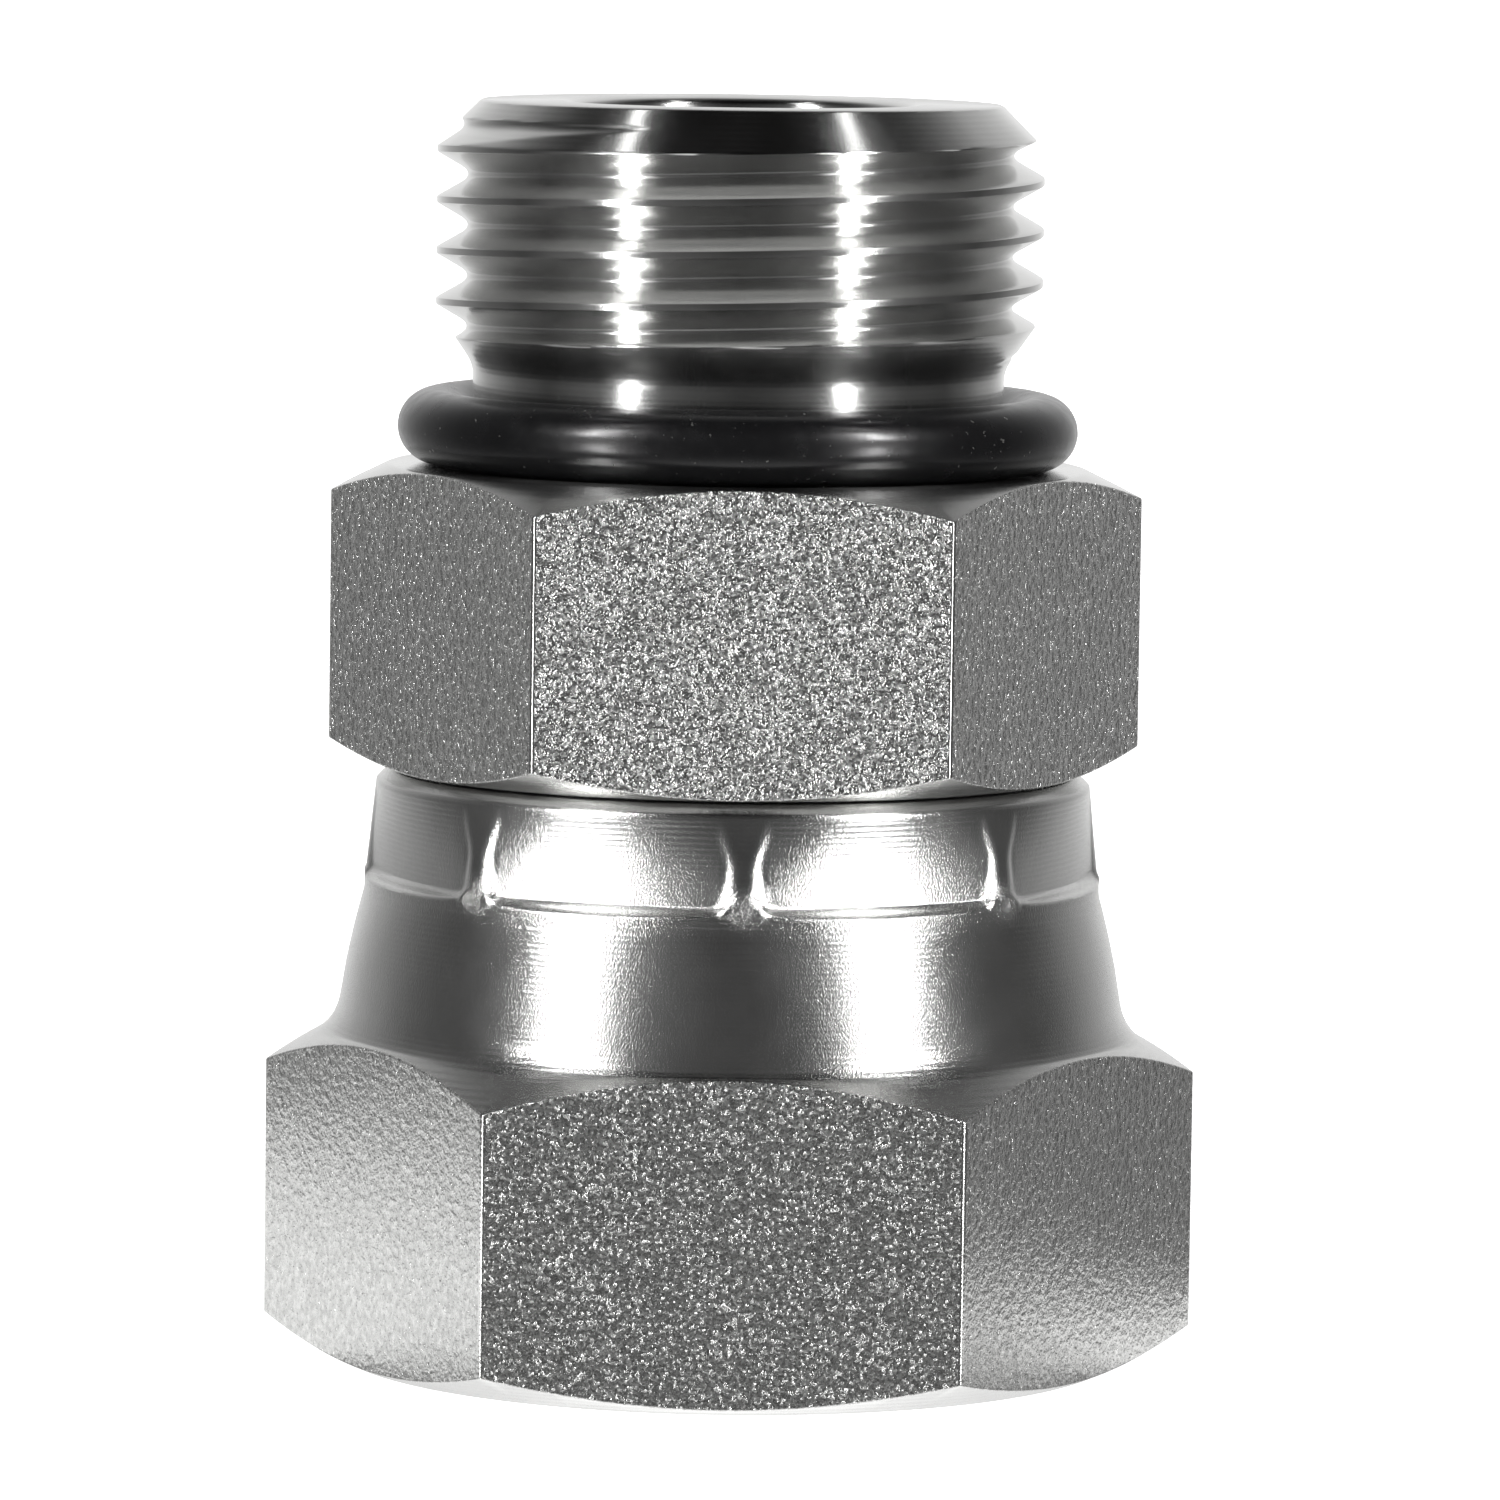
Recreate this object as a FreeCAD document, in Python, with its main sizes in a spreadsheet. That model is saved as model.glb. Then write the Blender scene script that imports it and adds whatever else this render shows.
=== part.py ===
"""Straight hydraulic adapter: O-ring boss stud, hexagon body and crimped female swivel nut.

Millimetres and degrees. The part stands on the open face of its nut, with +Z up the flow
axis and the origin at the middle of that face. One flat of the body hexagon faces -Y.
"""
import FreeCAD, Part
import math
import os

import Sketcher

OUT_DIR = "parts"

# Driving sizes.
SIZES = {
    # Stud at its thread's crest, with a run-out into the neck that holds the O-ring.
    "stud_major_dia": 19.05,
    "stud_length": 11.4,
    "stud_end_chamfer": 1.36,
    "neck_depth": 1.195,
    "neck_length": 2.7,
    "runout_angle": 26.5,
    # Boss O-ring.
    "oring_section": 2.34,
    "oring_clearance": 0.01,
    # Hexagon of the body.
    "body_hex_flats": 22.1,
    "body_hex_height": 9.5,
    "body_face_step": 0.1,
    "body_top_chamfer": 26.4,
    "body_low_chamfer": 24.0,
    # Tail inside the nut: neck, retaining flange and cone nose.
    "tail_neck_dia": 17.4,
    "flange_dia": 19.5,
    "flange_height": 1.8,
    "nose_base_dia": 18.2,
    "nose_tip_dia": 13.0,
    "nose_half_angle": 30.0,
    # Flow passage.
    "bore_dia": 10.4,
    "bore_chamfer": 0.6,
    # Swivel nut, outside: hexagon, barrel and collar.
    "swivel_gap": 0.2,
    "nut_hex_flats": 25.4,
    "nut_hex_height": 10.42,
    "nut_face_dia": 24.44,
    "nut_top_chamfer": 30.0,
    "nut_low_chamfer": 24.0,
    "hub_dia": 24.9,
    "barrel_height": 4.2,
    "barrel_radius": 32.0,
    "knee_dia": 23.2,
    "collar_height": 3.8,
    "collar_dia": 22.4,
    "lip_chamfer": 0.25,
    # Crimp: jaws press panels into the collar and leave ridges standing between them.
    "jaw_count": 8,
    "jaw_depth": 0.3,
    "jaw_height": 2.9,
    "jaw_lip": 0.35,
    "jaw_turn": 2.5,
    "ridge_width": 1.3,
    # Swivel nut, inside.
    "nut_bore_dia": 19.0,
    "nut_bore_length": 8.6,
    "nut_mouth_chamfer": 0.95,
    "running_clearance": 0.1,
    # Turn of the nut about the flow axis as it rests.
    "nut_turn": -1.9,
    # How far cutting tools overshoot the surface that they leave.
    "overshoot": 0.08,
}


def size(name):
    """Cell of one driving size, for use in an expression."""
    if name not in SIZES:
        raise KeyError(name)
    return f"dims.{name}"


def half(name):
    """Radius from a diameter, or apothem from a width across flats."""
    return f"({size(name)} / 2)"


# Radii that follow from the driving sizes.
STUD_R = half("stud_major_dia")
NECK_R = f"({STUD_R} - {size('neck_depth')})"
BORE_R = half("bore_dia")
BODY_FACE_R = f"({half('body_hex_flats')} - {size('body_face_step')})"
BODY_CORNER_R = f"({half('body_hex_flats')} / cos(30))"
TAIL_NECK_R = half("tail_neck_dia")
FLANGE_R = half("flange_dia")
NOSE_BASE_R = half("nose_base_dia")
NOSE_TIP_R = half("nose_tip_dia")
NUT_FACE_R = half("nut_face_dia")
NUT_CORNER_R = f"({half('nut_hex_flats')} / cos(30))"
HUB_R = half("hub_dia")
KNEE_R = half("knee_dia")
COLLAR_R = half("collar_dia")
NUT_BORE_R = half("nut_bore_dia")
RECESS_R = f"({FLANGE_R} + {size('running_clearance')})"
CRIMPED_R = f"({TAIL_NECK_R} + {size('running_clearance')})"
RING_R = f"({NECK_R} + {size('oring_clearance')} + {half('oring_section')})"

# Heights above the open face of the nut, from the bottom up.
BARREL_Z = size("nut_hex_height")
KNEE_Z = f"({BARREL_Z} + {size('barrel_height')})"
NUT_TOP_Z = f"({KNEE_Z} + {size('collar_height')})"
JAW_TOP_Z = f"({NUT_TOP_Z} - {size('jaw_lip')})"
JAW_LOW_Z = f"({JAW_TOP_Z} - {size('jaw_height')})"
FLANGE_TOP_Z = f"({JAW_LOW_Z} - {size('running_clearance')})"
FLANGE_LOW_Z = f"({FLANGE_TOP_Z} - {size('flange_height')})"
NOSE_TIP_Z = f"({FLANGE_LOW_Z} - ({NOSE_BASE_R} - {NOSE_TIP_R}) / tan({size('nose_half_angle')}))"
BODY_LOW_Z = f"({NUT_TOP_Z} + {size('swivel_gap')})"
SHOULDER_Z = f"({BODY_LOW_Z} + {size('body_hex_height')})"
NECK_TOP_Z = f"({SHOULDER_Z} + {size('neck_length')})"
RUNOUT_TOP_Z = f"({NECK_TOP_Z} + {size('neck_depth')} / tan({size('runout_angle')}))"
STUD_TOP_Z = f"({SHOULDER_Z} + {size('stud_length')})"
RING_Z = f"({SHOULDER_Z} + {size('oring_clearance')} + {half('oring_section')})"


def make_sheet(doc):
    """Spreadsheet of the driving sizes, one row each: name, value."""
    sheet = doc.addObject("Spreadsheet::Sheet", "dims")
    for row, (name, value) in enumerate(SIZES.items(), start=1):
        sheet.set(f"A{row}", name)
        sheet.set(f"B{row}", str(value))
        sheet.setAlias(f"B{row}", name)
    doc.recompute()
    return sheet


def plane(body, role):
    """One of the body's own origin planes."""
    return next(f for f in body.Origin.OriginFeatures if f.Role == role)


def upright_sketch(body, name):
    """Empty sketch in the XZ plane: its x is the radius, its y the height."""
    sketch = body.newObject("Sketcher::SketchObject", name)
    sketch.AttachmentSupport = [(plane(body, "XZ_Plane"), "")]
    sketch.MapMode = "FlatFace"
    return sketch


def bind(sketch, kind, edge, point, expression):
    """Tie one coordinate of a line's or arc's point to an expression."""
    value = float(sketch.evalExpression(expression))
    index = sketch.addConstraint(Sketcher.Constraint(kind, -1, 1, edge, point, value))
    sketch.setExpression(f"Constraints[{index}]", expression)


def outline(body, name, corners, arcs=None):
    """Closed section through (radius, height) corners, listed anticlockwise.

    A corner that reads "0" lies on the axis or the floor line. arcs gives the radius of
    the outward arc that leaves a corner, by the corner's number.
    """
    arcs = arcs or {}
    sketch = upright_sketch(body, name)
    points = [
        FreeCAD.Vector(*(float(sketch.evalExpression(value)) for value in corner), 0)
        for corner in corners
    ]
    count = len(corners)
    for i, start in enumerate(points):
        end = points[(i + 1) % count]
        if i in arcs:
            radius = float(sketch.evalExpression(arcs[i]))
            sketch.addGeometry(outward_arc(start, end, radius))
        else:
            sketch.addGeometry(Part.LineSegment(start, end))
    for i in range(count):
        sketch.addConstraint(Sketcher.Constraint("Coincident", i, 2, (i + 1) % count, 1))
    for i, (radius, height) in enumerate(corners):
        if radius == "0":
            sketch.addConstraint(Sketcher.Constraint("PointOnObject", i, 1, -2))
        else:
            bind(sketch, "DistanceX", i, 1, radius)
        if height == "0":
            sketch.addConstraint(Sketcher.Constraint("PointOnObject", i, 1, -1))
        else:
            bind(sketch, "DistanceY", i, 1, height)
    for i, radius in arcs.items():
        value = float(sketch.evalExpression(radius))
        index = sketch.addConstraint(Sketcher.Constraint("Radius", i, value))
        sketch.setExpression(f"Constraints[{index}]", radius)
    return sketch


def outward_arc(start, end, radius):
    """Short anticlockwise arc between two points."""
    chord = end - start
    middle = (start + end) * 0.5
    rise = math.sqrt(radius ** 2 - (chord.Length / 2) ** 2)
    centre = middle + FreeCAD.Vector(-chord.y, chord.x, 0).normalize() * rise
    first = math.atan2(start.y - centre.y, start.x - centre.x)
    last = math.atan2(end.y - centre.y, end.x - centre.x)
    circle = Part.Circle(centre, FreeCAD.Vector(0, 0, 1), radius)
    return Part.ArcOfCircle(circle, first, last)


def turn(body, name, sketch, kind="Revolution", angle="360"):
    """Add or cut a section by turning it about the flow axis."""
    feature = body.newObject(f"PartDesign::{kind}", name)
    feature.Profile = sketch
    feature.ReferenceAxis = (sketch, ["V_Axis"])
    feature.setExpression("Angle", angle)
    sketch.Visibility = False
    body.Document.recompute()
    return feature


def hexagon(body, name, corner_radius, low, height):
    """Hexagonal prism with one flat towards -Y."""
    prism = body.newObject("PartDesign::AdditivePrism", name)
    prism.Polygon = 6
    prism.setExpression("Circumradius", corner_radius)
    prism.setExpression("Height", height)
    prism.setExpression("Placement.Base.z", low)
    body.Document.recompute()
    return prism


def corner_cut(body, name, face_radius, corner_radius, level, angle, side):
    """Turn the corners of a hexagon down to a cone that starts on a round face.

    side is +1 for the chamfer above the hexagon and -1 for the one under it.
    """
    outer = f"({corner_radius} + {size('overshoot')})"
    drop = f"(({outer} - {face_radius}) * tan({angle}))"
    if side > 0:
        corners = [(face_radius, level), (outer, f"({level} - {drop})"), (outer, level)]
    elif level == "0":
        corners = [(face_radius, level), (outer, level), (outer, drop)]
    else:
        corners = [(face_radius, level), (outer, level), (outer, f"({level} + {drop})")]
    return turn(body, name, outline(body, f"{name}_section", corners), "Groove")


def make_adapter_body(doc):
    """Stud, hexagon and tail, turned and milled from one bar."""
    body = doc.addObject("PartDesign::Body", "adapter_body")
    body.Label = "adapter_body"
    chamfer = size("stud_end_chamfer")
    turned = [
        ("0", NOSE_TIP_Z),
        (NOSE_TIP_R, NOSE_TIP_Z),
        (NOSE_BASE_R, FLANGE_LOW_Z),
        (FLANGE_R, FLANGE_LOW_Z),
        (FLANGE_R, FLANGE_TOP_Z),
        (TAIL_NECK_R, FLANGE_TOP_Z),
        (TAIL_NECK_R, SHOULDER_Z),
        (NECK_R, SHOULDER_Z),
        (NECK_R, NECK_TOP_Z),
        (STUD_R, RUNOUT_TOP_Z),
        (STUD_R, f"({STUD_TOP_Z} - {chamfer})"),
        (f"({STUD_R} - {chamfer})", STUD_TOP_Z),
        ("0", STUD_TOP_Z),
    ]
    turn(body, "turned_bar", outline(body, "turned_section", turned))
    hexagon(body, "body_hexagon", BODY_CORNER_R, BODY_LOW_Z, size("body_hex_height"))
    corner_cut(body, "body_top_corners", BODY_FACE_R, BODY_CORNER_R, SHOULDER_Z,
               size("body_top_chamfer"), +1)
    corner_cut(body, "body_low_corners", BODY_FACE_R, BODY_CORNER_R, BODY_LOW_Z,
               size("body_low_chamfer"), -1)
    edge = size("bore_chamfer")
    passage = [
        ("0", f"({NOSE_TIP_Z} - {edge})"),
        (BORE_R, f"({NOSE_TIP_Z} - {edge})"),
        (BORE_R, f"({STUD_TOP_Z} - {edge})"),
        (f"({BORE_R} + 2 * {edge})", f"({STUD_TOP_Z} + {edge})"),
        ("0", f"({STUD_TOP_Z} + {edge})"),
    ]
    body.Tip = turn(body, "flow_passage", outline(body, "passage_section", passage), "Groove")
    return body


def make_swivel_nut(doc):
    """Hexagon nut whose collar is crimped in behind the flange of the tail."""
    nut = doc.addObject("PartDesign::Body", "swivel_nut")
    nut.Label = "swivel_nut"
    lip = size("lip_chamfer")
    turned = [
        ("0", "0"),
        (NUT_FACE_R, "0"),
        (HUB_R, BARREL_Z),
        (KNEE_R, KNEE_Z),
        (COLLAR_R, f"({NUT_TOP_Z} - {lip})"),
        (f"({COLLAR_R} - {lip})", NUT_TOP_Z),
        ("0", NUT_TOP_Z),
    ]
    barrel = {2: size("barrel_radius")}
    turn(nut, "turned_blank", outline(nut, "turned_section", turned, barrel))
    hexagon(nut, "nut_hexagon", NUT_CORNER_R, "0", BARREL_Z)
    corner_cut(nut, "nut_top_corners", HUB_R, NUT_CORNER_R, BARREL_Z, size("nut_top_chamfer"), +1)
    corner_cut(nut, "nut_low_corners", NUT_FACE_R, NUT_CORNER_R, "0", size("nut_low_chamfer"), -1)
    press_jaws(nut)
    mouth = size("nut_mouth_chamfer")
    past = size("overshoot")
    cavity = [
        ("0", "0"),
        (f"({NUT_BORE_R} + {mouth})", "0"),
        (NUT_BORE_R, mouth),
        (NUT_BORE_R, size("nut_bore_length")),
        (RECESS_R, size("nut_bore_length")),
        (RECESS_R, JAW_LOW_Z),
        (CRIMPED_R, JAW_LOW_Z),
        (CRIMPED_R, f"({NUT_TOP_Z} + {past})"),
        ("0", f"({NUT_TOP_Z} + {past})"),
    ]
    nut.Tip = turn(nut, "cavity", outline(nut, "cavity_section", cavity), "Groove")
    nut.Placement.Rotation.Axis = FreeCAD.Vector(0, 0, 1)
    nut.setExpression("Placement.Rotation.Angle", size("nut_turn"))
    return nut


def press_jaws(nut):
    """Panels pressed into the collar all round, with upright ridges left between them."""
    taper = f"(({KNEE_R} - {COLLAR_R}) / {size('collar_height')})"
    past = f"({KNEE_R} + {size('jaw_depth')})"
    low = f"({KNEE_R} - ({JAW_LOW_Z} - {KNEE_Z}) * {taper} - {size('jaw_depth')})"
    top = f"({KNEE_R} - ({JAW_TOP_Z} - {KNEE_Z}) * {taper} - {size('jaw_depth')})"
    panel = [(low, JAW_LOW_Z), (past, JAW_LOW_Z), (past, JAW_TOP_Z), (top, JAW_TOP_Z)]
    sketch = outline(nut, "jaw_section", panel)
    spin = FreeCAD.Rotation(FreeCAD.Vector(0, 1, 0), 1)
    sketch.AttachmentOffset = FreeCAD.Placement(FreeCAD.Vector(), spin)
    first = f"270 + {size('jaw_turn')} - 180 / {size('jaw_count')}"
    sketch.setExpression("AttachmentOffset.Rotation.Angle", first)
    ridge = f"({size('ridge_width')} / {COLLAR_R} * 180 / pi)"
    panel_cut = turn(nut, "jaw_panel", sketch, "Groove", f"360 / {size('jaw_count')} - {ridge}")
    panel_cut.Midplane = True
    ring = nut.newObject("PartDesign::PolarPattern", "jaw_panels")
    ring.Originals = [panel_cut]
    ring.Axis = (plane(nut, "Z_Axis"), [""])
    ring.Angle = 360
    ring.setExpression("Occurrences", size("jaw_count"))
    nut.Tip = ring
    nut.Document.recompute()


def make_o_ring(doc):
    """Boss seal that sits in the neck, on the shoulder of the hexagon."""
    seal = doc.addObject("PartDesign::Body", "o_ring")
    seal.Label = "o_ring"
    sketch = upright_sketch(seal, "ring_section")
    centre = FreeCAD.Vector(
        float(sketch.evalExpression(RING_R)), float(sketch.evalExpression(RING_Z)), 0
    )
    radius = float(sketch.evalExpression(half("oring_section")))
    sketch.addGeometry(Part.Circle(centre, FreeCAD.Vector(0, 0, 1), radius))
    bind(sketch, "DistanceX", 0, 3, RING_R)
    bind(sketch, "DistanceY", 0, 3, RING_Z)
    index = sketch.addConstraint(Sketcher.Constraint("Radius", 0, radius))
    sketch.setExpression(f"Constraints[{index}]", half("oring_section"))
    seal.Tip = turn(seal, "ring", sketch)
    return seal


def check(doc, pieces):
    """Stop if any object failed or any piece isn't one sound solid."""
    for item in doc.Objects:
        if "Invalid" in item.State or "Error" in item.State:
            raise RuntimeError(f"{item.Name} failed: {item.State}")
    for piece in pieces:
        shape = piece.Shape
        if shape.isNull() or not shape.isValid() or len(shape.Solids) != 1:
            raise RuntimeError(f"{piece.Label} isn't one sound solid")


def main():
    doc = FreeCAD.newDocument("swivel_adapter")
    make_sheet(doc)
    pieces = [make_adapter_body(doc), make_swivel_nut(doc), make_o_ring(doc)]
    doc.recompute()
    check(doc, pieces)
    os.makedirs(OUT_DIR, exist_ok=True)
    for piece in pieces:
        piece.Shape.exportStep(os.path.join(OUT_DIR, f"{piece.Label}.step"))
        box = piece.Shape.optimalBoundingBox()
        print(f"{piece.Label}: {piece.Shape.Volume:.1f} mm3, "
              f"{box.XLength:.2f} x {box.YLength:.2f} x {box.ZLength:.2f} mm, "
              f"z {box.ZMin:.2f} to {box.ZMax:.2f}")


main()
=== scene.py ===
"""Looks of the swivel adapter: threads, crimped collar, etched flats and rubber seal.

Sizes in this file are millimetres in the adapter's own frame, and each mesh is made in metres.
The visual pieces stand for the plain solids and stay inside them.
"""
import math

import bpy
import numpy as np
from mathutils import Matrix, Vector


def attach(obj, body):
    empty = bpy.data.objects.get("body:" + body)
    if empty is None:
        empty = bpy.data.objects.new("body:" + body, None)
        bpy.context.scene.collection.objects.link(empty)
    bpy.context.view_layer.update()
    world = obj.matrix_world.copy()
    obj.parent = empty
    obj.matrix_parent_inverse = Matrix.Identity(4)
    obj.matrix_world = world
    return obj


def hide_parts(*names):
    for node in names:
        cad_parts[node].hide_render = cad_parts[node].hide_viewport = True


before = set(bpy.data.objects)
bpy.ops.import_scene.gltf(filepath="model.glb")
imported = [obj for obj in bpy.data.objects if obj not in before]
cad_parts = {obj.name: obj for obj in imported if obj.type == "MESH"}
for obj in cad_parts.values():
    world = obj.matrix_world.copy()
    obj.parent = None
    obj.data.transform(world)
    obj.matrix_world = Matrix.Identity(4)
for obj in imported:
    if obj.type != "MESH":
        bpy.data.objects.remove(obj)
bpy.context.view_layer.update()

MM = 0.001
TURNED, ETCHED = 0, 1
WHITE = (1.0, 1.0, 1.0, 1.0)

# Adapter body.
STUD_R = 9.525
STUD_PITCH = 1.5875
STUD_THREAD_DEPTH = 0.974
STUD_TOP = 39.52
STUD_CHAMFER = 1.36
NECK_R = 8.33
NECK_TOP = 30.82
NECK_FILLET = 0.42
RUNOUT_TOP = 32.95
SHOULDER = 28.12
BODY_LOW = 18.62
BODY_APOTHEM = 11.05
BODY_FACE_R = 10.95
TAIL_R = 8.7
FLANGE_R = 9.75
FLANGE_TOP = 15.07
FLANGE_LOW = 13.27
NOSE_R = 9.1
TIP_R = 6.5
TIP = 8.767
BORE_R = 5.2
BORE_CHAMFER = 0.6
BORE_LIP = ((0.6, 0.0), (0.32, 0.04), (0.14, 0.11), (0.05, 0.2), (0.01, 0.34), (0.0, 0.55))
BODY_TOP_CHAMFER = math.radians(26.4)
BODY_LOW_CHAMFER = math.radians(24.0)
HEX_CORNER_R = 0.16
HEX_EDGE = math.radians(0.37)
THREAD_FLANK = math.radians(30.0)
THREAD_MOUTH = 0.4375
STUD_ROWS = 32
PIPE_ROWS = 16

# Swivel nut.
NUT_TURN = math.radians(-1.9)
NUT_APOTHEM = 12.7
NUT_FACE_R = 12.22
NUT_HEX_TOP = 10.42
HUB_R = 12.45
BARREL_ARC = 32.0
KNEE_R = 11.6
KNEE = 14.62
NUT_TOP = 18.42
COLLAR_R = 11.2
LIP = 0.25
LIP_TOP = 18.55
PANEL_TOP = 18.07
PANEL_LOW = 15.17
JAWS = 8
JAW_TURN = math.radians(2.5)
CRIMPED_R = 8.8
RECESS_R = 9.85
NUT_BORE_R = 9.5
NUT_BORE_LENGTH = 8.6
MOUTH = 0.95
PIPE_PITCH = 1.814
PIPE_DEPTH = 0.95
PIPE_ROOT_R = NUT_BORE_R + PIPE_DEPTH + 0.06
NUT_TOP_CHAMFER = math.radians(30.0)
NUT_LOW_CHAMFER = math.radians(24.0)

# Crimp.
FIRST_RIDGE = -math.pi / 2.0 + NUT_TURN + JAW_TURN
PANEL_PRESS = 0.2
PANEL_BOW = 0.36
PANEL_MARGIN = 0.65
WALL_SPREAD = 1.6
CORNER_RISE = 0.22
FOOT_BEAD = 0.05
WEAR_PER_METRE = 250.0

# O-ring.
RING_R = 9.513
RING_Z = 29.3
RING_WIRE = 1.17
RING_FLASH = 0.016
RING_COLUMNS = 360
RING_ROWS = 72

# Studio lamps: strength, azimuths to the left and right, and elevations with their share of light.
# Azimuth 0 is -Y and 90 is +X. Each lamp fades in over its first pair and out over its last.
LAMPS = (
    # Tall strips, seen as the bright lines down the stud.
    (36.0, (-51, -50, -47.5, -46.5), (43.5, 44.5, 47, 48),
     ((-26, 0.0), (-16, 1.0), (3, 1.0), (7, 0.08), (26, 0.08), (32, 0.0))),
    # Wide boxes, seen in the nut's barrel.
    (1.7, (-63, -57, -45, -39), (33, 39, 52, 58), ((6, 0.0), (12, 1.0), (28, 1.0), (38, 0.0))),
    # Low boxes, seen in the pressed panels.
    (1.35, (-53, -50, -41, -38), (40, 43, 53, 56),
     ((-25, 0.0), (-20, 1.0), (-13, 1.0), (-9, 0.0), (3, 0.0), (6, 1.0), (10, 1.0), (14, 0.0))),
    # Lamps above and below, seen in the thread's flanks after two bounces.
    (12.0, (-65, -63.5, -61, -59.5), (57, 58.5, 61, 62.5),
     ((-66, 0.0), (-60, 1.0), (-46, 1.0), (-40, 0.0),
      (46, 0.0), (50, 1.0), (60, 1.0), (66, 0.0))),
    # Spots seen in the O-ring.
    (40.0, (-59, -57, -52, -50), (47, 49, 54, 56), ((24, 0.0), (27, 1.0), (43, 1.0), (47, 0.0))),
    # Spots seen in the stud's end chamfer.
    (7.0, (-118, -115, -102, -99), (98, 101, 114, 117),
     ((65.6, 0.0), (66.4, 1.0), (67.8, 1.0), (68.6, 0.0))),
)
WALLS = (
    (-180, 0.9), (-165, 0.85), (-152, 0.6), (-140, 0.4), (-127, 0.26), (-112, 0.13),
    (-92, 0.06), (-74, 0.11), (-60, 0.14), (-40, 0.13), (-23, 0.09), (0, 0.05),
    (14, 0.06), (26, 0.1), (40, 0.14), (62, 0.15), (75, 0.08), (100, 0.06),
    (115, 0.14), (127, 0.3), (140, 0.43), (152, 0.65), (165, 0.9), (180, 0.9),
)
WALL_LIFT = ((-60, 0.9), (-5, 1.0), (34, 1.0), (46, 0.45), (58, 0.08), (72, 0.04), (90, 0.03))
FLOOR_LIFT = ((-90, 1.0), (-56, 1.0), (-44, 0.65), (-32, 0.12), (-18, 0.0))

# Cards beside the nut: name, side, reach, height and strength.
CARDS = (("card_left", -1.0, 27.0, 4.8, 1.2), ("card_right", 1.0, 21.0, 0.4, 1.3))
CARD_NEAR, CARD_FRONT, CARD_BACK, CARD_LOW = 13.5, -22.0, 26.0, -0.02
FLOOR_REACH, FLOOR_LEVEL, FLOOR_LIGHT = 3.0, -0.00001, 0.86

# Camera.
CAMERA_TURN, CAMERA_PITCH = math.radians(-1.31), math.radians(5.57)
CAMERA_ROLL = math.radians(0.77)
CAMERA_PLACE = (0.52, -304.4, 48.84)


# ---- geometry -------------------------------------------------------------------------------


def smooth(low, high, value):
    """0 below low, 1 above high, with a soft rise between."""
    t = np.clip((value - low) / (high - low), 0.0, 1.0)
    return t * t * (3.0 - 2.0 * t)


def soft_min(a, b, width):
    """Lower of two heights, with the crossing rounded over a width."""
    h = np.clip(0.5 + 0.5 * (b - a) / width, 0.0, 1.0)
    return b * (1.0 - h) + a * h - width * h * (1.0 - h)


def hexagon_columns(step, turn=0.0, extra=()):
    """Angles round a hexagon, close together at its corners and at extra places."""
    near = np.radians([0.0, 0.12, 0.24, 0.36, 0.6, 1.1])
    found = [np.arange(0.0, 360.0, step) * math.pi / 180.0]
    for corner in range(6):
        middle = turn + math.radians(60.0 * corner)
        found += [middle + near, middle - near]
    for middle, reach, spacing in extra:
        found.append(np.arange(middle - reach, middle + reach, spacing))
    angles = np.sort(np.mod(np.concatenate(found), 2.0 * math.pi))
    keep = np.concatenate([[True], np.diff(angles) > math.radians(0.1)])
    return angles[keep]


def hexagon_radius(angles, apothem, turn=0.0):
    """Radius at each angle of a hexagon with one flat towards -Y and rounded corners."""
    sixth = math.pi / 3.0
    off = np.mod(angles - turn + math.pi / 2.0 + sixth / 2.0, sixth) - sixth / 2.0
    left = sixth / 2.0 - np.abs(off)
    centre = (apothem - HEX_CORNER_R) / math.cos(sixth / 2.0)
    inside = np.maximum(HEX_CORNER_R ** 2 - (centre * np.sin(left)) ** 2, 0.0)
    arc = centre * np.cos(left) + np.sqrt(inside)
    tangent = math.atan((apothem - HEX_CORNER_R) * math.tan(sixth / 2.0) / apothem)
    return np.where(np.abs(off) > tangent, arc, apothem / np.cos(off))


def rounded(corners, count):
    """Rows of a section from corners (radius, height, bend, finish of the strip that follows)."""
    points = [np.array([np.full(count, 1.0) * c[0], np.full(count, 1.0) * c[1]]) for c in corners]
    rows = []
    for i, (_, _, bend, finish) in enumerate(corners):
        here = points[i]
        if bend == 0 or i in (0, len(corners) - 1):
            rows.append((here, finish))
            continue
        back, on = points[i - 1] - here, points[i + 1] - here
        back_length, on_length = np.hypot(*back), np.hypot(*on)
        start = here + back / back_length * np.minimum(bend, 0.45 * back_length)
        end = here + on / on_length * np.minimum(bend, 0.45 * on_length)
        steps = 4 if bend < 0.4 else 8
        inner = max(finish, corners[i - 1][3])
        for k in range(steps + 1):
            t = k / steps
            point = (1 - t) ** 2 * start + 2 * t * (1 - t) * here + t ** 2 * end
            rows.append((point, finish if k == steps else inner))
    return rows


def helical(angles, low, high, pitch, per_pitch, radius):
    """Rows that follow a right-hand helix between two heights; radius(height, height less lead)."""
    lead = pitch * angles / (2.0 * math.pi)
    count = int(math.ceil(per_pitch * ((high - low) / pitch + 1.0))) + 1
    rows = []
    for j in range(count):
        height = np.clip(low - pitch + pitch * j / per_pitch + lead, low, high)
        rows.append((np.array([radius(height, height - lead), height]), TURNED))
    return rows


def groove(along, pitch, depth):
    """Depth of a 60 degree thread at a place along the helix, from the middle of its groove."""
    away = np.abs(np.mod(along + pitch / 2.0, pitch) - pitch / 2.0)
    flank = (THREAD_MOUTH * pitch - away) / math.tan(THREAD_FLANK)
    return -soft_min(-soft_min(flank, np.full_like(flank, depth), 0.22), np.zeros_like(flank), 0.07)


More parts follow.
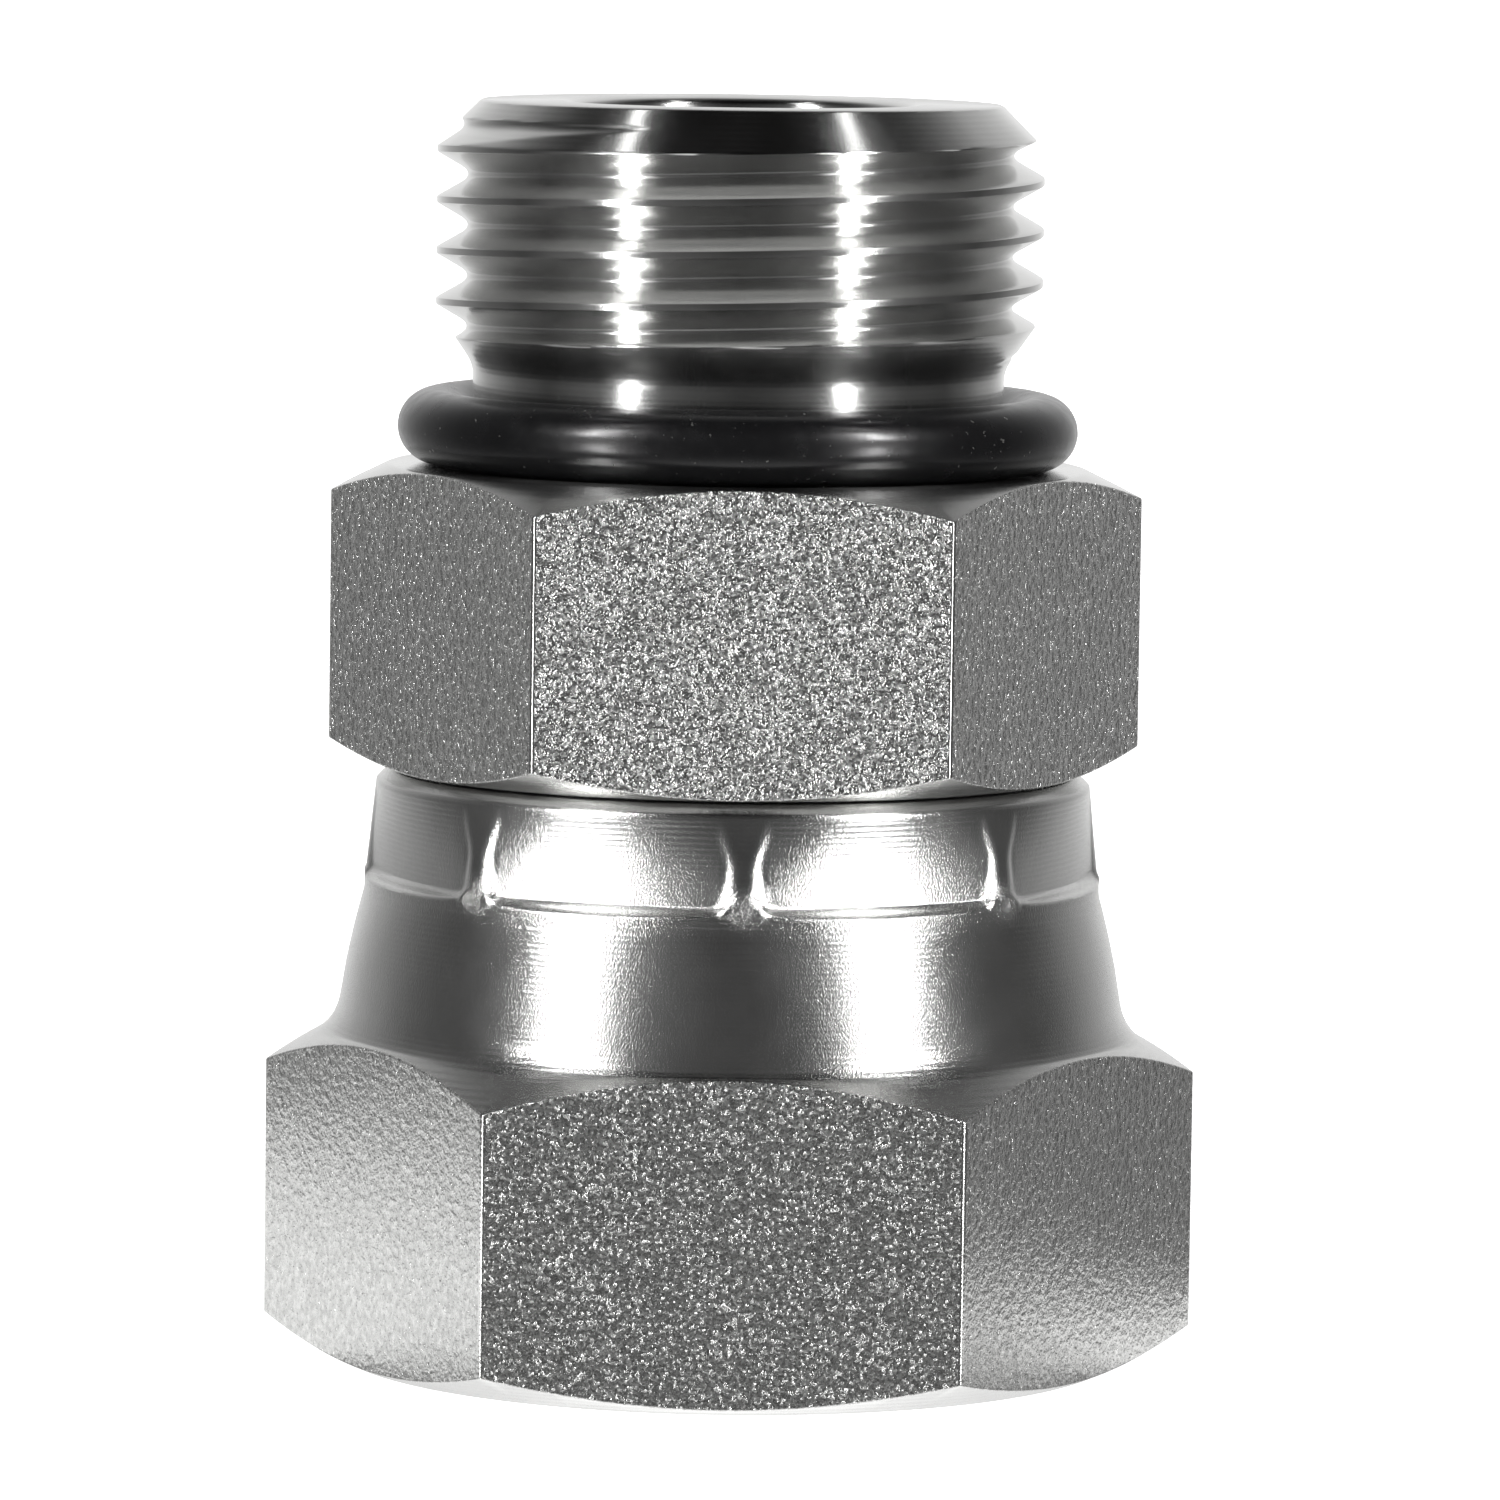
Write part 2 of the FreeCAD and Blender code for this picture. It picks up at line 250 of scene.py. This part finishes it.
def lathe(name, angles, blocks, body, node, materials, corner_turn=None):
    """Closed mesh from blocks of rows that make one loop, each block plain or helical."""
    rows, seam = [], []
    for block, shift in blocks:
        first, last = len(rows), len(rows) + len(block) - 1
        rows += block
        seam += [min(first + k + shift, last) for k in range(len(block))]
    count, wide = len(rows), len(angles)
    radius = np.array([row[0][0] for row in rows])
    height = np.array([row[0][1] for row in rows])
    finish = np.array([row[1] for row in rows])
    points = np.stack([radius * np.cos(angles), radius * np.sin(angles), height], -1).reshape(-1, 3)
    _, first, same = np.unique(np.round(points, 5), axis=0, return_index=True, return_inverse=True)
    same = same.reshape(count, wide)
    after = (np.arange(count) + 1) % count
    right = np.roll(same, -1, axis=1)
    right[:, -1] = same[np.array(seam), 0]
    quads = np.stack([same, right, right[after], same[after]], -1).reshape(-1, 4)
    marks = np.repeat(finish, wide)
    if corner_turn is not None:
        sixth = math.pi / 3.0
        middle = np.append(angles[1:], angles[0] + 2.0 * math.pi) / 2.0 + angles / 2.0
        from_corner = np.abs(np.mod(middle - corner_turn + sixth / 2.0, sixth) - sixth / 2.0)
        on_edge = np.tile(from_corner < HEX_EDGE, count)
        marks = np.where(on_edge & (marks == ETCHED), TURNED, marks)
    faces, kept = [], []
    for quad, mark in zip(quads.tolist(), marks.tolist()):
        face = [v for k, v in enumerate(quad) if v != quad[k - 1]]
        if len(set(face)) == len(face) and len(face) > 2:
            faces.append(face)
            kept.append(mark)
    mesh = bpy.data.meshes.new(name)
    mesh.from_pydata((points[first] * MM).tolist(), [], faces)
    mesh.polygons.foreach_set("material_index", np.array(kept, dtype=np.int32))
    for material in materials:
        mesh.materials.append(material)
    mesh.shade_smooth()
    mesh.set_sharp_from_angle(angle=math.radians(38.0))
    piece = bpy.data.objects.new(name, mesh)
    bpy.context.scene.collection.objects.link(piece)
    weighted = piece.modifiers.new("even_shading", "WEIGHTED_NORMAL")
    weighted.keep_sharp = True
    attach(piece, body)
    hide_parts(node)
    return piece


# ---- materials ------------------------------------------------------------------------------


class Nodes:
    """Short way to add and join the nodes of one tree."""

    def __init__(self, tree):
        self.tree = tree
        tree.nodes.clear()

    def add(self, kind, inputs=None, **settings):
        node = self.tree.nodes.new(kind)
        for key, value in settings.items():
            setattr(node, key, value)
        for key, value in (inputs or {}).items():
            if isinstance(value, bpy.types.NodeSocket):
                self.tree.links.new(value, node.inputs[key])
            else:
                node.inputs[key].default_value = value
        return node

    def math(self, operation, first, second=0.0):
        node = self.add("ShaderNodeMath", {0: first, 1: second}, operation=operation)
        return node.outputs[0]

    def ramp(self, factor, stops, interpolation="LINEAR"):
        node = self.add("ShaderNodeValToRGB", {0: factor})
        node.color_ramp.interpolation = interpolation
        elements = node.color_ramp.elements
        while len(elements) < len(stops):
            elements.new(0.5)
        for element, (position, value) in zip(elements, stops):
            element.position = position
            shade = value if isinstance(value, tuple) else (value,) * 3
            element.color = (*shade, 1.0)
        return node.outputs[0]

    def noise(self, vector, scale, detail=2.0, roughness=0.5):
        inputs = {"Vector": vector, "Scale": scale, "Detail": detail, "Roughness": roughness}
        return self.add("ShaderNodeTexNoise", inputs).outputs[0]

    def stretched(self, vector, scale):
        return self.add("ShaderNodeMapping", {"Vector": vector, "Scale": scale}).outputs[0]

    def between(self, noise, low, high):
        """Noise spread over a range of values."""
        inputs = {0: noise, 1: 0.3, 2: 0.7, 3: low, 4: high}
        return self.add("ShaderNodeMapRange", inputs).outputs[0]


def new_material(name):
    material = bpy.data.materials.new(name)
    material.use_nodes = True
    return material, Nodes(material.node_tree)


def jaw_wear(n, place):
    """1 where the jaws scuffed the nut: at the ridges' feet, and faintly below the panels."""
    axes = n.add("ShaderNodeSeparateXYZ", {0: place}).outputs
    turn = n.math("ARCTAN2", axes["Y"], axes["X"])
    turn = n.math("ADD", turn, -FIRST_RIDGE)
    near = n.ramp(n.math("PINGPONG", turn, math.pi / JAWS), [(0.02, 1.0), (0.08, 0.0)])
    lift = n.math("MULTIPLY", axes["Z"], WEAR_PER_METRE)
    lift = n.math("ADD", lift, 0.5 - PANEL_LOW * MM * WEAR_PER_METRE)
    foot = n.ramp(lift, [(0.3, 0.0), (0.5, 1.0), (0.6, 1.0), (0.78, 0.0)], "EASE")
    band = n.ramp(lift, [(0.3, 0.0), (0.42, 0.3), (0.48, 0.3), (0.52, 0.0)])
    return n.math("MAXIMUM", n.math("MULTIPLY", near, foot), band)


def turned_steel(name, shade, roughness, spread, ring_depth, pit_depth, wear=None):
    """Steel as a lathe leaves it: even feed marks round the axis, with fine scuffs and pits."""
    material, n = new_material(name)
    place = n.add("ShaderNodeTexCoord").outputs["Object"]
    feed = n.add("ShaderNodeTexWave", {
        "Vector": place, "Scale": 1850.0, "Distortion": 0.6, "Detail": 1.0, "Detail Scale": 0.3,
    }, wave_type="BANDS", bands_direction="Z").outputs[1]
    scuffs = n.noise(n.stretched(place, (140.0, 140.0, 12000.0)), 1.0, 3.0, 0.7)
    rings = n.math("ADD", n.math("MULTIPLY", feed, 0.8), n.math("MULTIPLY", scuffs, 0.6))
    pits = n.noise(place, 17000.0, 2.0, 0.6)
    cloud = n.noise(place, 420.0, 3.0, 0.6)
    colour = n.ramp(cloud, [(0.3, tuple(0.93 * c for c in shade)), (0.7, shade)])
    rough = n.between(cloud, roughness, roughness + 0.05)
    if wear:
        worn = wear(n, place)
        rough = n.math("ADD", rough, n.math("MULTIPLY", worn, 0.05))
        pits = n.math("MULTIPLY", pits, n.math("ADD", n.math("MULTIPLY", worn, 2.5), 1.0))
    ring_bump = n.add("ShaderNodeBump", {"Height": rings, "Strength": 1.0, "Distance": ring_depth})
    pit_bump = n.add(
        "ShaderNodeBump",
        {"Height": pits, "Strength": 1.0, "Distance": pit_depth, "Normal": ring_bump.outputs[0]},
    )
    around = n.add("ShaderNodeTangent", direction_type="RADIAL", axis="Z")
    shader = n.add("ShaderNodeBsdfPrincipled", {
        "Base Color": colour, "Metallic": 1.0, "Roughness": rough,
        "Anisotropic": spread, "Anisotropic Rotation": 0.25, "Tangent": around.outputs[0],
        "Normal": pit_bump.outputs[0],
    })
    n.add("ShaderNodeOutputMaterial", {"Surface": shader.outputs[0]})
    return material


def etched_steel(name, shade, grain, depth, roughness):
    """Blasted hexagon flats: coarse bright and dark grain."""
    material, n = new_material(name)
    place = n.add("ShaderNodeTexCoord").outputs["Object"]
    coarse = n.noise(place, grain, 2.0, 0.55)
    fine = n.noise(place, grain * 2.7, 2.0, 0.6)
    glints = n.ramp(n.noise(place, grain * 1.7, 1.0, 0.5), [(0.6, 0.0), (0.7, 1.0)])
    height = n.math("ADD", coarse, n.math("MULTIPLY", fine, 0.35))
    height = n.math("ADD", height, n.math("MULTIPLY", glints, 0.22))
    peaks = n.ramp(coarse, [
        (0.32, tuple(0.8 * c for c in shade)), (0.52, tuple(0.96 * c for c in shade)),
        (0.68, tuple(1.12 * c for c in shade)),
    ])
    rough = n.between(fine, roughness, roughness + 0.14)
    bump = n.add("ShaderNodeBump", {"Height": height, "Strength": 1.0, "Distance": depth})
    shader = n.add("ShaderNodeBsdfPrincipled", {
        "Base Color": peaks, "Metallic": 1.0, "Roughness": rough,
        "Normal": bump.outputs[0],
    })
    n.add("ShaderNodeOutputMaterial", {"Surface": shader.outputs[0]})
    return material


def seal_rubber():
    """Moulded black rubber with a soft gloss and a little dust."""
    material, n = new_material("seal_rubber")
    place = n.add("ShaderNodeTexCoord").outputs["Object"]
    specks = n.noise(place, 5200.0, 2.0, 0.5)
    skin = n.noise(place, 1500.0, 3.0, 0.6)
    colour = n.ramp(specks, [(0.0, (0.005, 0.005, 0.0055)), (0.7, (0.006, 0.006, 0.0065)),
                             (0.78, (0.12, 0.12, 0.115))])
    rough = n.between(skin, 0.2, 0.28)
    bump = n.add("ShaderNodeBump", {"Height": skin, "Strength": 1.0, "Distance": 0.000004})
    shader = n.add("ShaderNodeBsdfPrincipled", {
        "Base Color": colour, "Roughness": rough, "Normal": bump.outputs[0],
    })
    n.add("ShaderNodeOutputMaterial", {"Surface": shader.outputs[0]})
    return material


# ---- pieces ---------------------------------------------------------------------------------


def make_adapter_body(materials):
    angles = hexagon_columns(1.6)
    count = len(angles)
    hexagon = hexagon_radius(angles, BODY_APOTHEM)
    rise = hexagon - BODY_FACE_R
    below = rounded([
        (BORE_R, TIP + BORE_CHAMFER, 0, TURNED),
        (BORE_R + BORE_CHAMFER * 0.6, TIP, 0.05, TURNED),
        (TIP_R, TIP, 0.08, TURNED),
        (NOSE_R, FLANGE_LOW, 0.08, TURNED),
        (FLANGE_R, FLANGE_LOW, 0.12, TURNED),
        (FLANGE_R, FLANGE_TOP, 0.12, TURNED),
        (TAIL_R, FLANGE_TOP, 0.12, TURNED),
        (TAIL_R, BODY_LOW, 0.1, TURNED),
        (BODY_FACE_R, BODY_LOW, 0.12, TURNED),
        (hexagon, BODY_LOW + rise * math.tan(BODY_LOW_CHAMFER), 0.05, ETCHED),
        (hexagon, SHOULDER - rise * math.tan(BODY_TOP_CHAMFER), 0.05, TURNED),
        (BODY_FACE_R, SHOULDER, 0.14, TURNED),
        (NECK_R, SHOULDER, 0.12, TURNED),
        (NECK_R, NECK_TOP - 0.05, 0, TURNED),
    ], count)

    def stud(height, along):
        low = NECK_TOP + NECK_FILLET
        runout = NECK_R + (height - low) * (STUD_R - NECK_R) / (RUNOUT_TOP - low)
        runout = -soft_min(-runout, np.full_like(height, -NECK_R), 0.25)
        chamfer = STUD_R - np.maximum(height - (STUD_TOP - STUD_CHAMFER), 0.0)
        outer = soft_min(runout, soft_min(chamfer, np.full_like(height, STUD_R), 0.05), 0.05)
        middle = NECK_TOP - STUD_PITCH / 2.0
        cut = groove(along - middle, STUD_PITCH, STUD_THREAD_DEPTH)
        cut = cut - 0.14 * smooth(STUD_TOP - 1.5, STUD_TOP - 0.7, height)
        return np.minimum(np.minimum(outer, STUD_R - np.maximum(cut, 0.0)), STUD_R)

    thread = helical(angles, NECK_TOP, STUD_TOP - 0.04, STUD_PITCH, STUD_ROWS, stud)
    lip = [(BORE_R + out, STUD_TOP - down, 0, TURNED) for out, down in BORE_LIP]
    above = rounded([(STUD_R - STUD_CHAMFER - 0.04, STUD_TOP, 0, TURNED), *lip], count)
    return lathe("adapter_body_steel", angles, [(below, 0), (thread, STUD_ROWS), (above, 0)],
                 "adapter", "adapter_body", materials, 0.0)


def collar_radius(angles, height):
    """Crimped collar: eight pressed panels, and ridges that the jaws left between them."""
    base = KNEE_R + (height - KNEE) * (COLLAR_R - KNEE_R) / (NUT_TOP - KNEE)
    step = 2.0 * math.pi / JAWS
    off = np.mod(angles - FIRST_RIDGE + step / 2.0, step) - step / 2.0
    away = np.abs(off) * base
    half = step / 2.0 * base
    share = np.clip((PANEL_TOP - height) / (PANEL_TOP - PANEL_LOW), 0.0, 1.0)
    crest = 0.1 + 0.08 * smooth(0.8, 1.0, share) + 0.45 * (1.0 - smooth(0.0, 0.55, share))
    wall = np.maximum(away - crest, 0.0) ** 2 / WALL_SPREAD
    across = np.clip((half - away) / (half - PANEL_MARGIN), 0.0, 1.0)
    bow = PANEL_BOW * (1.0 - (1.0 - share) ** 2)
    panel = PANEL_PRESS * share ** 0.85 + bow * (1.0 - across ** 2)
    corner = CORNER_RISE * np.exp(-np.maximum(away - 0.45, 0.0) / 0.4)
    low = smooth(PANEL_LOW - 0.1 + corner, PANEL_LOW + 0.25 + corner, height)
    depth = low * np.maximum(soft_min(wall, panel, 0.04), 0.0)
    spot = ((away - 0.54) / 0.16) ** 2 + ((height - PANEL_LOW - 0.1) / 0.2) ** 2
    return base - depth + FOOT_BEAD * np.exp(-spot)


def make_swivel_nut(materials):
    ridges = [(FIRST_RIDGE + 2.0 * math.pi * k / JAWS, math.radians(6.0), math.radians(0.5))
              for k in range(JAWS)]
    angles = hexagon_columns(1.5, NUT_TURN, ridges)
    count = len(angles)
    hexagon = hexagon_radius(angles, NUT_APOTHEM, NUT_TURN)
    chord = Vector((KNEE_R - HUB_R, KNEE - NUT_HEX_TOP))
    rise = math.sqrt(BARREL_ARC ** 2 - (chord.length / 2.0) ** 2)
    centre = Vector(((KNEE_R + HUB_R) / 2.0, (KNEE + NUT_HEX_TOP) / 2.0))
    centre += Vector((-chord.y, chord.x)).normalized() * rise

    def arc(height):
        return centre.x + math.sqrt(BARREL_ARC ** 2 - (height - centre.y) ** 2)

    mouth = rounded([
        (PIPE_ROOT_R, 0.15, 0, TURNED),
        (NUT_BORE_R + PIPE_DEPTH + 0.25, 0.0, 0.06, TURNED),
        (NUT_FACE_R, 0.0, 0.1, TURNED),
        (hexagon, (hexagon - NUT_FACE_R) * math.tan(NUT_LOW_CHAMFER), 0.05, ETCHED),
        (hexagon, NUT_HEX_TOP - (hexagon - HUB_R) * math.tan(NUT_TOP_CHAMFER), 0.05, TURNED),
        (HUB_R, NUT_HEX_TOP, 0.9, TURNED),
        (arc(NUT_HEX_TOP + 2.0), NUT_HEX_TOP + 2.0, 0, TURNED),
    ], count)
    barrel = []
    for height in np.linspace(NUT_HEX_TOP + 2.2, KNEE - 0.35, 10):
        barrel.append((np.array([np.full(count, arc(height)), np.full(count, height)]), TURNED))
    collar = []
    for height in np.linspace(KNEE - 0.1, NUT_TOP - LIP, 60):
        level = np.full(count, height)
        blend = smooth(KNEE - 0.1, KNEE + 0.35, height)
        round_radius = (1.0 - blend) * arc(height) + blend * collar_radius(angles, level)
        collar.append((np.array([round_radius, level]), TURNED))
    inside = rounded([
        (COLLAR_R - 0.1, NUT_TOP - LIP * 0.45, 0, TURNED),
        (COLLAR_R - 0.42, LIP_TOP, 0.06, TURNED),
        (CRIMPED_R, LIP_TOP, 0.15, TURNED),
        (CRIMPED_R, PANEL_LOW, 0.12, TURNED),
        (RECESS_R, PANEL_LOW, 0.12, TURNED),
        (RECESS_R, NUT_BORE_LENGTH, 0.1, TURNED),
        (NUT_BORE_R, NUT_BORE_LENGTH, 0, TURNED),
    ], count)

    def pipe(drop, along):
        height = NUT_BORE_LENGTH - drop
        mouth_cut = NUT_BORE_R + np.maximum(MOUTH - height, 0.0)
        depth = groove(along, PIPE_PITCH, PIPE_DEPTH)
        root = NUT_BORE_R + depth * smooth(0.0, 0.5, drop)
        return np.minimum(np.maximum(mouth_cut, root), PIPE_ROOT_R)

    thread = helical(2.0 * math.pi - angles, 0.0, NUT_BORE_LENGTH - 0.15,
                     PIPE_PITCH, PIPE_ROWS, pipe)
    thread = [(np.array([row[0][0], NUT_BORE_LENGTH - row[0][1]]), row[1]) for row in thread]
    return lathe("swivel_nut_steel", angles,
                 [(mouth, 0), (barrel, 0), (collar, 0), (inside, 0), (thread, -PIPE_ROWS)],
                 "nut", "swivel_nut", materials, NUT_TURN)


def make_o_ring(material):
    """Torus with the thin line that the mould leaves round its outside."""
    angles = np.linspace(0.0, 2.0 * math.pi, RING_COLUMNS + 1)[:-1]
    rows = []
    for turn in np.linspace(-math.pi, math.pi, RING_ROWS + 1)[:-1]:
        flash = RING_FLASH * math.exp(-((turn + 0.05) / 0.035) ** 2)
        wire = RING_WIRE - RING_FLASH + flash
        out = np.full(RING_COLUMNS, RING_R + wire * math.cos(turn))
        level = np.full(RING_COLUMNS, RING_Z + wire * math.sin(turn))
        rows.append((np.array([out, level]), TURNED))
    return lathe("o_ring_rubber", angles, [(rows, 0)], "adapter", "o_ring",
                 [material])


# ---- studio ---------------------------------------------------------------------------------


def make_world():
    """Studio round the part: dark before it, lamps to each side, bright behind and below it."""
    world = bpy.data.worlds.new("studio")
    bpy.context.scene.world = world
    world.use_nodes = True
    n = Nodes(world.node_tree)
    place = n.add("ShaderNodeTexCoord").outputs["Generated"]
    axes = n.add("ShaderNodeSeparateXYZ", {0: place}).outputs
    turn = n.math("ARCTAN2", axes["X"], n.math("MULTIPLY", axes["Y"], -1.0))
    around = n.math("ADD", n.math("DIVIDE", turn, 2.0 * math.pi), 0.5)
    lift = n.math("ADD", n.math("DIVIDE", n.math("ARCSINE", axes["Z"]), math.pi), 0.5)

    def round_it(stops):
        return n.ramp(around, [((degrees + 180.0) / 360.0, share) for degrees, share in stops])

    def up_it(stops):
        return n.ramp(lift, [((degrees + 90.0) / 180.0, share) for degrees, share in stops])

    glow = n.math("MULTIPLY", round_it(WALLS), up_it(WALL_LIFT))
    glow = n.math("ADD", glow, up_it(FLOOR_LIFT))
    for strength, left, right, lifts in LAMPS:
        window = list(zip(left + right, (0.0, 1.0, 1.0, 0.0) * 2))
        lamp = n.math("MULTIPLY", round_it(window), up_it(lifts))
        glow = n.math("ADD", glow, n.math("MULTIPLY", lamp, strength))
    studio = n.add("ShaderNodeBackground", {"Color": glow, "Strength": 1.0})
    paper = n.add("ShaderNodeBackground", {"Color": WHITE, "Strength": 1.0})
    seen = n.add("ShaderNodeLightPath").outputs["Is Camera Ray"]
    both = n.add("ShaderNodeMixShader", {0: seen, 1: studio.outputs[0], 2: paper.outputs[0]})
    n.add("ShaderNodeOutputWorld", {"Surface": both.outputs[0]})


def make_floor():
    """Plain pale floor that the nut stands on."""
    mesh = bpy.data.meshes.new("floor")
    sides = ((-1.0, -1.0), (1.0, -1.0), (1.0, 1.0), (-1.0, 1.0))
    mesh.from_pydata([(x * FLOOR_REACH, y * FLOOR_REACH, FLOOR_LEVEL) for x, y in sides],
                     [], [(0, 1, 2, 3)])
    material, n = new_material("pale_floor")
    paint = n.add("ShaderNodeBsdfDiffuse", {"Color": (0.9, 0.9, 0.9, 1.0)})
    light = n.add("ShaderNodeEmission", {"Color": WHITE, "Strength": FLOOR_LIGHT})
    both = n.add("ShaderNodeAddShader", {0: paint.outputs[0], 1: light.outputs[0]})
    n.add("ShaderNodeOutputMaterial", {"Surface": both.outputs[0]})
    mesh.materials.append(material)
    floor = bpy.data.objects.new("floor", mesh)
    bpy.context.scene.collection.objects.link(floor)
    floor.visible_glossy = False
    floor.visible_diffuse = False
    floor.visible_shadow = False


def make_card(name, corners, strength):
    """Low white card beside the nut, seen only in the steel."""
    mesh = bpy.data.meshes.new(name)
    mesh.from_pydata([Vector(corner) * MM for corner in corners], [], [(0, 1, 2, 3)])
    material, n = new_material(name)
    light = n.add("ShaderNodeEmission", {"Color": WHITE, "Strength": strength})
    n.add("ShaderNodeOutputMaterial", {"Surface": light.outputs[0]})
    mesh.materials.append(material)
    card = bpy.data.objects.new(name, mesh)
    bpy.context.scene.collection.objects.link(card)
    card.visible_camera = False
    card.visible_diffuse = False
    card.visible_shadow = False


def make_cards():
    """Cards that whiten the nut's left flat and the foot of its right one."""
    for name, side, reach, top, strength in CARDS:
        near, far = CARD_NEAR * side, reach * side
        make_card(f"{name}_wall", [
            (far, CARD_FRONT, CARD_LOW), (far, CARD_BACK, CARD_LOW),
            (far, CARD_BACK, top), (far, CARD_FRONT, top),
        ], strength)
        make_card(f"{name}_foot", [
            (near, CARD_FRONT, CARD_LOW), (far, CARD_FRONT, CARD_LOW),
            (far, CARD_BACK, CARD_LOW), (near, CARD_BACK, CARD_LOW),
        ], strength)


def make_camera():
    """Long lens a little above the stud, looking down at the angle of the photograph."""
    turn = Matrix.Rotation(CAMERA_TURN, 3, "Z")
    camera = bpy.data.cameras.new("camera")
    camera.sensor_width = 36.0
    camera.lens = 233.15
    camera.clip_start = 0.01
    camera.clip_end = 20.0
    viewer = bpy.data.objects.new("camera", camera)
    viewer.location = turn @ Vector(CAMERA_PLACE) * MM
    aim = turn @ Matrix.Rotation(math.pi / 2.0 - CAMERA_PITCH, 3, "X")
    viewer.rotation_mode = "QUATERNION"
    viewer.rotation_quaternion = (aim @ Matrix.Rotation(CAMERA_ROLL, 3, "Z")).to_quaternion()
    bpy.context.scene.collection.objects.link(viewer)
    bpy.context.scene.camera = viewer


steel = (0.66, 0.66, 0.65)
body_turned = turned_steel("body_turned", steel, roughness=0.16, spread=0.85,
                           ring_depth=0.0000012, pit_depth=0.000001)
body_etched = etched_steel("body_etched", (0.68, 0.68, 0.67), grain=3900.0, depth=0.000094,
                           roughness=0.18)
nut_turned = turned_steel("nut_turned", steel, roughness=0.2, spread=0.5,
                          ring_depth=0.000005, pit_depth=0.000008, wear=jaw_wear)
nut_etched = etched_steel("nut_etched", (0.63, 0.63, 0.62), grain=4100.0, depth=0.000061,
                          roughness=0.2)

make_adapter_body([body_turned, body_etched])
make_swivel_nut([nut_turned, nut_etched])
make_o_ring(seal_rubber())
make_world()
make_floor()
make_cards()
make_camera()
bpy.context.scene.view_settings.view_transform = "Standard"
